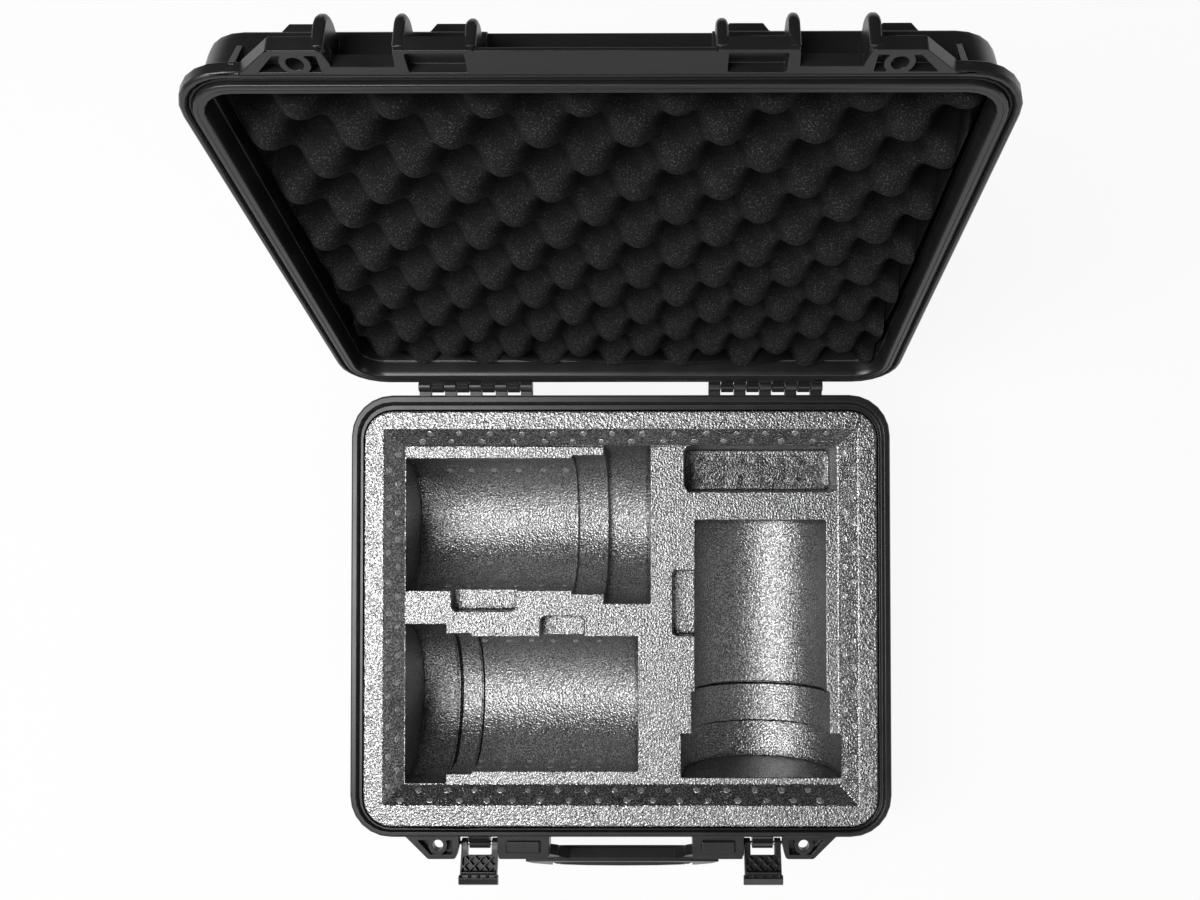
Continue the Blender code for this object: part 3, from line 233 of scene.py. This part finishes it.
def skinned(bm, loops):
    """Faces over a row of loops of points, closed at both ends and facing outwards."""
    made = [bm.faces.new(loops[0]), bm.faces.new(loops[-1][::-1])]
    for low, high in zip(loops, loops[1:]):
        for i in range(len(low)):
            n = (i + 1) % len(low)
            made.append(bm.faces.new((low[i], high[i], high[n], low[n])))
    bmesh.ops.recalc_face_normals(bm, faces=made)
    return made


def softened(node, name, width, mat, angle=30.0, segments=2):
    """A copy of a CAD node with its edges rounded."""
    mesh = NODES[node].data.copy()
    bm = bmesh.new()
    bm.from_mesh(mesh)
    bmesh.ops.remove_doubles(bm, verts=bm.verts, dist=2e-6)
    for face in bm.faces:
        face.smooth = True
    surface = BVHTree.FromBMesh(bm)
    bm.to_mesh(mesh)
    bm.free()
    mesh.materials.clear()
    mesh.materials.append(mat)
    ob = add_object(name, mesh)
    mod = ob.modifiers.new("edges", "BEVEL")
    mod.width = width
    mod.segments = segments
    mod.limit_method = "ANGLE"
    mod.angle_limit = math.radians(angle)
    mod.use_clamp_overlap = False
    mod.miter_outer = "MITER_ARC"
    baked(ob)
    # a point that the rounding threw off a thin face goes back onto the surface
    for vert in ob.data.vertices:
        place, _, _, gap = surface.find_nearest(vert.co)
        if gap > 0.8 * width:
            vert.co = place
    return ob


def flat_normals(mesh):
    """Shade each flat stretch flat and each rounded edge smooth: a point takes the normals
    of the flat stretches round it, weighed by their whole area."""
    bm = bmesh.new()
    bm.from_mesh(mesh)
    bm.faces.ensure_lookup_table()
    group = [-1] * len(bm.faces)
    normals, areas = [], []
    for seed in bm.faces:
        if group[seed.index] >= 0:
            continue
        number = len(areas)
        group[seed.index] = number
        heap, total = [seed], 0.0
        while heap:
            face = heap.pop()
            total += face.calc_area()
            for edge in face.edges:
                for other in edge.link_faces:
                    if group[other.index] < 0 and other.normal.dot(seed.normal) > 0.99995:
                        group[other.index] = number
                        heap.append(other)
        normals.append(seed.normal.copy())
        areas.append(total)
    result = []
    for vert in bm.verts:
        normal = Vector()
        for number in {group[face.index] for face in vert.link_faces}:
            normal += normals[number] * areas[number] ** 1.5
        result.append(normal.normalized() if normal.length > 0 else Vector((0, 0, 1)))
    bm.free()
    mesh.normals_split_custom_set_from_vertices(result)


def ring(half_x, half_y, radius, steps):
    """Points round a rectangle with rounded corners, counter-clockwise."""
    points = []
    for cx, cy, start in ((half_x - radius, half_y - radius, 0), (radius - half_x, half_y - radius, 90),
                          (radius - half_x, radius - half_y, 180), (half_x - radius, radius - half_y, 270)):
        for k in range(steps + 1):
            a = math.radians(start + 90 * k / steps)
            points.append((cx + radius * math.cos(a), cy + radius * math.sin(a)))
    return points


def add_ridges(mesh):
    """Long ridges on the grip's outer face and short teeth along its lower edge."""
    surface = surface_of(mesh)
    bm = bmesh.new()
    bm.from_mesh(mesh)
    # the hanging grip's outer face: directions out of it and down along it, and its upper edge
    out, down = Vector((0, -0.879, 0.477)), Vector((0, -0.477, -0.879))
    top, far = Vector((0, -206.0 * MM, 66.4 * MM)), 6 * MM
    half_grip, ridge_step, tooth_step = 50, 2.5, 2
    ridge_high, tooth_half, tooth_high = 0.55, 0.55, 0.5
    # section of a bar, as shares of its half width and of its height
    section = ((-1.0, -0.4), (-0.75, 0.55), (-0.3, 1.0), (0.3, 1.0), (0.75, 0.55), (1.0, -0.4))
    end_height = 0.2

    def on_face(x, reach):
        start = top + down * (reach * MM) + out * far
        start.x = x * MM
        return surface.ray_cast(start, -out, 2 * far)[0]

    def bar(spots, across, half, high):
        """A low bar with a rounded back through the points."""
        loops = []
        for number, spot in enumerate(spots):
            share = end_height if number in (0, len(spots) - 1) else 1.0
            loops.append([bm.verts.new(spot + across * (half * MM * a) + out * (high * MM * b * share))
                          for a, b in section])
        for face in skinned(bm, loops):
            face.smooth = True

    for reach, half in ((1.9, 0.75), (4.3, 0.65)):
        count = int(2 * half_grip / ridge_step) + 1
        spots = [on_face(-half_grip + ridge_step * k, reach) for k in range(count)]
        bar([p for p in spots if p], down, half, ridge_high)
    for k in range(int(2 * half_grip / tooth_step) + 1):
        x = -half_grip + tooth_step * k
        spots = [on_face(x, reach) for reach in (5.6, 6.1, 7.6, 8.2)]
        if all(spots):
            bar(spots, Vector((1, 0, 0)), tooth_half, tooth_high)
    bm.to_mesh(mesh)
    bm.free()


# ---- materials ----------------------------------------------------------------------
PLASTIC = moulded_plastic()
FOAM = bead_foam("bead_foam", 0.17, 0.51, Metallic=0.97)
MARK = bead_foam("bead_foam_skin", 0.42, 0.76, Metallic=0.8)
# a darker copy of the foam: painted shade on the pocket's floor
POCKET_SHADE_FOAM = bead_foam("bead_foam_pocket_shade", 0.07, 0.30, Metallic=0.9)
# a near-black copy of the foam: painted shade lines at the steps of the beds
SHADE_LINE_FOAM = bead_foam("bead_foam_shade_line", 0.01, 0.06, Metallic=0.9)
CRATE = open_cell_foam()
RUBBER = rubber()
STEEL = steel()

# ---- rigid pieces -------------------------------------------------------------------
# node: body, width of the rounded edge in mm, material and slot
SOFTENED = {
    "base_shell": ("base", 0.4, PLASTIC, "moulded_plastic"),
    "lid_shell": ("lid", 0.4, PLASTIC, "moulded_plastic"),
    "latch_left": ("latch_left", 0.3, PLASTIC, "moulded_plastic"),
    "latch_right": ("latch_right", 0.3, PLASTIC, "moulded_plastic"),
    "handle_frame": ("handle", 0.5, PLASTIC, "moulded_plastic"),
    "handle_grip": ("handle", 0.5, RUBBER, "rubber"),
    "vent_plug": ("base", 0.3, PLASTIC, "moulded_plastic"),
}


def make_rigid():
    """Rounded copies of the moulded nodes."""
    for node, (body, width, mat, slot) in SOFTENED.items():
        piece = softened(node, node + "_moulded", width * MM, mat)
        if node == "handle_grip":
            add_ridges(piece.data)
        flat_normals(piece.data)
        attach(piece, body)
        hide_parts(node)


def dress_nodes():
    """Pins and seals keep their CAD solids, with steel or rubber on them."""
    for node, ob in NODES.items():
        if node not in SOFTENED and "foam" not in node:
            mat = STEEL if "pin" in node else RUBBER
            ob.data.materials.clear()
            ob.data.materials.append(mat)
            for poly in ob.data.polygons:
                poly.use_smooth = True
            ob.data.set_sharp_from_angle(angle=math.radians(40))


# ---- foam ---------------------------------------------------------------------------
def steam_marks():
    """Places on the tray where the mould let steam in: (point, direction out of the foam)."""
    length = math.hypot(RECESS_RISE, RECESS_RUN)
    up, level = RECESS_RISE / length, RECESS_RUN / length
    marks = []

    def row(count, start, pitch, place, out):
        """Marks along a line, in mm from start, a little unevenly spaced."""
        for k in range(count):
            along = (start + k * pitch + 1.3 * math.sin(5.1 * k + start)) * MM
            marks.append((Vector(place(along)), Vector(out)))

    # share of the way up the slope, then start, pitch and number of the row's marks
    for share, start, pitch, count in ((0.72, -150.6, 24.1, 14), (0.29, -157.3, 23.8, 14)):
        y, z = RECESS_BACK + RECESS_RUN * share, DECK + RECESS_RISE * share
        row(count, start, pitch, lambda a: (a, y, z), (0, -up, level))
    for share, start, pitch, count in ((0.27, -160.6, 22.1, 15), (0.75, -171.7, 21.9, 16)):
        y, z = RECESS_FRONT - RECESS_RUN * share, DECK + RECESS_RISE * share
        row(count, start, pitch, lambda a: (a, y, z), (0, up, level))
    side_pitch, side_count = 22.6, 12
    for side in (-1, 1):
        for share, start in ((0.3, -122.0), (0.74, -133.0)):
            x, z = side * (RECESS_SIDE + RECESS_RUN * share), DECK + RECESS_RISE * share
            row(side_count, start, side_pitch, lambda a: (x, a, z), (-side * up, 0, level))
    # walls of the left beds: middle, radius, side, start and number, and degrees below the axis
    bed_pitch = 19.3
    for middle, radius, side, start, count, angles in ((FRONT_BED, 53.5, -1, -134.0, 7, (5, 17)),
                                                       (FRONT_BED, 53.5, 1, -134.0, 7, (32,)),
                                                       (REAR_BED, 52.7, 1, -144.0, 6, (32,)),
                                                       (REAR_BED, 52.7, -1, -144.0, 6, (5, 17))):
        reach = radius * MM
        for angle in angles:
            a = math.radians(angle)
            out = (0, -side * math.cos(a), math.sin(a))
            row(count, start, bed_pitch,
                lambda t: (t, middle - reach * out[1], BED_AXIS - reach * out[2]), out)
    return marks


def add_marks(mesh):
    """Low domes on the foam, set where its surface really lies."""
    surface = surface_of(mesh)
    bm = bmesh.new()
    bm.from_mesh(mesh)
    steps, lift, slack, least_facing = 14, 3 * MM, 1.0 * MM, 0.9
    # share of the mark's radius and height in mm, from its foot up
    section = ((1.0, -0.25), (0.93, 0.10), (0.72, 0.22), (0.35, 0.27))
    for number, (place, out) in enumerate(steam_marks()):
        spot, normal, _, gap = surface.ray_cast(place + out * lift, -out, 2 * lift)
        # no mark where the surface lies elsewhere, as at a finger slot or a step
        if spot is None or abs(gap - lift) > slack or normal.dot(out) < least_facing:
            continue
        across = normal.orthogonal().normalized()
        beside = normal.cross(across)
        size = (2.75 + 0.25 * math.sin(3.7 * number)) * MM
        rings = []
        for reach, high in section:
            rings.append([])
            for k in range(steps):
                a = 2 * math.pi * k / steps
                wobble = 1 + 0.07 * math.sin(2 * a + number) + 0.05 * math.sin(5 * a + 2 * number)
                r = size * reach * wobble
                rings[-1].append(bm.verts.new(spot + across * (r * math.cos(a)) + beside * (r * math.sin(a))
                                              + normal * (high * MM)))
        made = [bm.faces.new(rings[-1]), bm.faces.new(rings[0][::-1])]
        for low, high in zip(rings, rings[1:]):
            for k in range(steps):
                n = (k + 1) % steps
                made.append(bm.faces.new((low[k], low[n], high[n], high[k])))
        for face in made:
            face.material_index = MARK_SLOT
            face.smooth = True
    bm.to_mesh(mesh)
    bm.free()


def add_shade_lines(mesh):
    """Near-black strips of painted shade at the steps of the front and right beds."""
    bm = bmesh.new()
    bm.from_mesh(mesh)
    steps, first, sweep = 40, -6, -168               # arc from wall to wall, in degrees
    high, root = 0.42, -0.2                          # above and below the bed's floor, in mm
    thin, swell, draft = 0.15, 2.5, 0.02
    # place along the bed and width, radius of its floor there, its middle, and whether along Y
    for start, width, radius, middle, along in ((-139.1, 2.6, 55.7, FRONT_BED, 0),
                                                (-119.2, 1.3, 53.5, FRONT_BED, 0),
                                                (-66.3, 1.6, 55.0, RIGHT_BED, 1),
                                                (-99.2, 2.4, 63.4, RIGHT_BED, 1)):
        loops = []
        for k in range(steps + 1):
            a = math.radians(first + sweep * k / steps)
            lean = draft * (1 + math.sin(a)) * radius
            fade = min(1.0, thin + swell * math.sin(math.pi * k / steps))
            loop = []
            for t, depth in ((0, root), (0, high), (1, high), (1, root)):
                r = (radius - depth) * MM
                far = (start + lean + t * width * fade) * MM
                q, z = middle + r * math.cos(a), BED_AXIS + r * math.sin(a)
                loop.append(bm.verts.new((far, q, z) if along == 0 else (q, far, z)))
            loops.append(loop)
        for face in skinned(bm, loops):
            face.material_index = SHADE_LINE_SLOT
    bm.to_mesh(mesh)
    bm.free()


def add_dimples(mesh):
    """The pocket's floor swells between two rows of soft dimples."""
    bm = bmesh.new()
    bm.from_mesh(mesh)
    x0, x1, y0, y1, floor = 54.2 * MM, 168.8 * MM, 100.6 * MM, 129.5 * MM, PARTING - 50 * MM
    nx, ny, pitch, swell = 72, 20, 16.4 * MM, 1.5 * MM
    row_place, row_width, row_turn = 0.62, 0.26, 0.6     # the front row is turned against the back one
    depth, root = 0.9, 0.1 * MM
    grid = []
    for i in range(nx + 1):
        grid.append([])
        for j in range(ny + 1):
            x, y = x0 + (x1 - x0) * i / nx, y0 + (y1 - y0) * j / ny
            across = abs(2 * j / ny - 1)
            rows = math.exp(-((across - row_place) / row_width) ** 2)
            phase = 2 * math.pi * (x - x0) / pitch + (row_turn if j < ny / 2 else 0)
            dip = rows * (0.5 + 0.5 * math.cos(phase))
            edge = min(1.0, 6 * min(i / nx, 1 - i / nx, j / ny / 3, (1 - j / ny) / 3))
            grid[-1].append(bm.verts.new((x, y, floor + swell * edge * (1 - depth * dip) - root)))
    made = [bm.faces.new((grid[i][j], grid[i + 1][j], grid[i + 1][j + 1], grid[i][j + 1]))
            for i in range(nx) for j in range(ny)]
    rim = ([grid[i][0] for i in range(nx)] + [grid[nx][j] for j in range(ny)]
           + [grid[i][ny] for i in range(nx, 0, -1)] + [grid[0][j] for j in range(ny, 0, -1)])
    made.append(bm.faces.new(rim[::-1]))
    for face in made:
        # the dimpled floor takes the darker copy of the foam: painted shade in the pocket
        face.material_index = POCKET_SHADE_SLOT
        face.smooth = True
    bm.to_mesh(mesh)
    bm.free()


def level_deck(mesh):
    """Lay the flat deck anew: the rounded edges leave folded slivers in its narrow places."""
    bm = bmesh.new()
    bm.from_mesh(mesh)
    flat = {f for f in bm.faces if abs(f.normal.z) > 0.9999
            and all(abs(v.co.z - DECK) < 0.005 * MM for v in f.verts)}
    rim = [e for e in bm.edges if sum(f in flat for f in e.link_faces) == 1]
    verts = list({v for e in rim for v in e.verts})
    index = {v: k for k, v in enumerate(verts)}
    lines = [(index[e.verts[0]], index[e.verts[1]]) for e in rim]
    points, _, tris, origin, *_ = delaunay_2d_cdt([v.co.xy for v in verts], lines, [], 1, 1e-7)
    ends = [(verts[a].co, verts[b].co) for a, b in lines]

    def inside(x, y):
        hits = 0
        for a, b in ends:
            if (a.y > y) != (b.y > y) and x < a.x + (y - a.y) / (b.y - a.y) * (b.x - a.x):
                hits += 1
        return hits % 2 == 1

    kept = [verts[o[0]] if o else bm.verts.new((p.x, p.y, DECK)) for p, o in zip(points, origin)]
    bmesh.ops.delete(bm, geom=list(flat), context="FACES_ONLY")
    for tri in tris:
        x, y = (sum(points[i][k] for i in tri) / 3 for k in (0, 1))
        if inside(x, y):
            corners = [kept[i] for i in tri]
            if len(set(corners)) == 3:
                face = bm.faces.new(corners)
                face.normal_update()
                if face.normal.z < 0:
                    face.normal_flip()
                face.smooth = True
    bmesh.ops.delete(bm, geom=[e for e in bm.edges if not e.link_faces], context="EDGES")
    bm.to_mesh(mesh)
    bm.free()


def make_tray():
    tray = softened("foam_tray", "foam_tray_moulded", 0.9 * MM, FOAM, 25.0, 3)
    level_deck(tray.data)
    for mat in (MARK, POCKET_SHADE_FOAM, SHADE_LINE_FOAM):
        tray.data.materials.append(mat)
    add_marks(tray.data)
    add_shade_lines(tray.data)
    add_dimples(tray.data)
    flat_normals(tray.data)
    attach(tray, "base")
    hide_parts("foam_tray")


def make_crate():
    """Convoluted sheet, built closed over the tray and then turned up with the lid."""
    pitch_x, pitch_y = 48.7 * MM, 49.4 * MM
    mid, wave = 14.2 * MM, 10.75 * MM                # mean thickness, and height of the wave
    peak = Vector((-6.65 * MM, 9.8 * MM))            # one of its crests
    askew = Matrix.Rotation(math.radians(1.15), 2)
    bow = 2.0 * MM                                   # its rows sag this much at the sides
    fit = 0.35 * MM
    seat = PARTING + 29.8 * MM - fit                 # back of the sheet, against the lid's roof
    half_x, half_y, corner = 192.3 * MM, 155.2 * MM, 15 * MM
    shift = Vector((0.2 * MM, -1.4 * MM))
    outline = [Vector(p) + shift for p in ring(half_x, half_y, corner, 10)]
    edges = [(k, (k + 1) % len(outline)) for k in range(len(outline))]
    points = list(outline)
    step = 2.0 * MM
    margin = 0.8 * MM
    for i in range(-int(half_x / step), int(half_x / step) + 1):
        for j in range(-int(half_y / step), int(half_y / step) + 1):
            x, y = i * step, j * step
            qx, qy = max(abs(x) - half_x + corner, 0), max(abs(y) - half_y + corner, 0)
            inside = abs(x) < half_x - margin and abs(y) < half_y - margin
            if inside and math.hypot(qx, qy) < corner - margin:
                points.append(Vector((x, y)) + shift)
    flat, _, tris, *_ = delaunay_2d_cdt(points, edges, [], 1, 1e-7)
    verts = []
    for p in flat:
        q = askew @ (Vector((p.x, p.y + bow * (p.x / half_x) ** 2)) - peak)
        f = math.cos(2 * math.pi * q.x / pitch_x) * math.cos(2 * math.pi * q.y / pitch_y)
        f *= 1.25 - 0.25 * f * f                     # fuller crests and hollows
        verts.append(Vector((p.x, p.y, seat - mid - wave * f)))
    bm = bmesh.new()
    corners = [bm.verts.new(v) for v in verts]
    for tri in tris:
        bm.faces.new([corners[i] for i in tri])
    # cut edge and back; the outline's points come first in the triangulation
    count = len(outline)
    back = [bm.verts.new((v.co.x, v.co.y, seat)) for v in corners[:count]]
    for k, n in edges:
        bm.faces.new((corners[n], corners[k], back[k], back[n]))
    bm.faces.new(back)
    bmesh.ops.recalc_face_normals(bm, faces=bm.faces)
    for face in bm.faces:
        face.smooth = True
    mesh = bpy.data.meshes.new("foam_lid_convoluted")
    bm.to_mesh(mesh)
    bm.free()
    turn = Matrix.Translation(HINGE) @ Matrix.Rotation(LID_OPEN, 4, "X") @ Matrix.Translation(-HINGE)
    mesh.transform(turn)
    mesh.materials.append(CRATE)
    mesh.set_sharp_from_angle(angle=math.radians(60))
    crate = add_object("foam_lid_convoluted", mesh)
    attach(crate, "lid")
    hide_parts("foam_lid")


# ---- floor, light, camera -----------------------------------------------------------
def make_floor():
    half, glow = 3.0, 0.92                           # glow: how far the background goes to white
    mesh = bpy.data.meshes.new("floor")
    bm = bmesh.new()
    bmesh.ops.create_grid(bm, x_segments=8, y_segments=8, size=half)
    bm.to_mesh(mesh)
    bm.free()
    floor = add_object("floor", mesh)
    floor.location.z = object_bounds()[0][2]
    g = Graph("floor")
    tone = g.ramp(g.noise(9, 3), (0.3, 0.80), (0.7, 0.82))
    g.finish(Base_Color=tone, Roughness=0.9)
    path = g.node("LightPath")
    seen = g.math("MAXIMUM", path.outputs["Is Camera Ray"],
                  g.math("MAXIMUM", path.outputs["Is Glossy Ray"], path.outputs["Is Transmission Ray"]))
    white = g.node("Emission", {"Color": (1, 1, 1, 1), "Strength": 1.0}).outputs[0]
    blend = g.node("MixShader", {0: g.math("MULTIPLY", seen, glow), 1: g.shader.outputs[0], 2: white})
    out = g.tree.nodes["Material Output"]
    g.tree.links.new(blend.outputs[0], out.inputs["Surface"])
    mesh.materials.append(g.mat)


def area(name, place, target, width, height, watts):
    data = bpy.data.lights.new(name, "AREA")
    data.shape = "RECTANGLE"
    data.size, data.size_y = width, height
    data.energy = watts
    ob = bpy.data.objects.new(name, data)
    bpy.context.scene.collection.objects.link(ob)
    ob.location = place
    aim = Vector(target) - Vector(place)
    ob.rotation_euler = aim.to_track_quat("-Z", "Y").to_euler()


def make_world(level):
    world = bpy.data.worlds.new("studio")
    bpy.context.scene.world = world
    world.use_nodes = True
    tree = world.node_tree
    base = tree.nodes["Background"]
    base.inputs["Color"].default_value = (1, 1, 1, 1)
    base.inputs["Strength"].default_value = level
    white = tree.nodes.new("ShaderNodeBackground")
    white.inputs["Color"].default_value = (1, 1, 1, 1)
    path = tree.nodes.new("ShaderNodeLightPath")
    either = tree.nodes.new("ShaderNodeMath")
    either.operation = "MAXIMUM"
    tree.links.new(path.outputs["Is Camera Ray"], either.inputs[0])
    tree.links.new(path.outputs["Is Transmission Ray"], either.inputs[1])
    mix = tree.nodes.new("ShaderNodeMixShader")
    tree.links.new(either.outputs[0], mix.inputs[0])
    tree.links.new(base.outputs[0], mix.inputs[1])
    tree.links.new(white.outputs[0], mix.inputs[2])
    tree.links.new(mix.outputs[0], tree.nodes["World Output"].inputs["Surface"])


def make_camera():
    """Looks down on the open case. Place, lens and turn were fitted to the photograph's view."""
    data = bpy.data.cameras.new("camera")
    data.sensor_width = 36.0
    data.lens = 32.2
    data.shift_x = -0.043
    data.shift_y = 0.0285
    camera = bpy.data.objects.new("camera", data)
    bpy.context.scene.collection.objects.link(camera)
    place, roll, yaw, pitch = (0.0273, 0.0863, 0.9481), 0.05, -0.204, -1.102
    turn = (Matrix.Rotation(math.radians(roll), 3, "Z") @ Matrix.Rotation(math.radians(yaw), 3, "Y")
            @ Matrix.Rotation(math.radians(pitch), 3, "X"))
    camera.matrix_world = Matrix.Translation(place) @ turn.transposed().to_4x4()
    bpy.context.scene.camera = camera


make_rigid()
dress_nodes()
make_tray()
make_crate()
make_floor()
make_world(0.05)
area("key", (-0.90, -0.02, 1.75), (-0.02, 0.0, 0.08), 0.8, 1.3, 37)
area("fill", (0.3, -1.2, 1.5), (0, 0.15, 0.2), 0.9, 0.8, 6)
area("card", (1.5, 0.1, 0.35), (0, 0.05, 0.1), 1.2, 0.5, 3)
make_camera()
bpy.context.scene.view_settings.view_transform = "Standard"
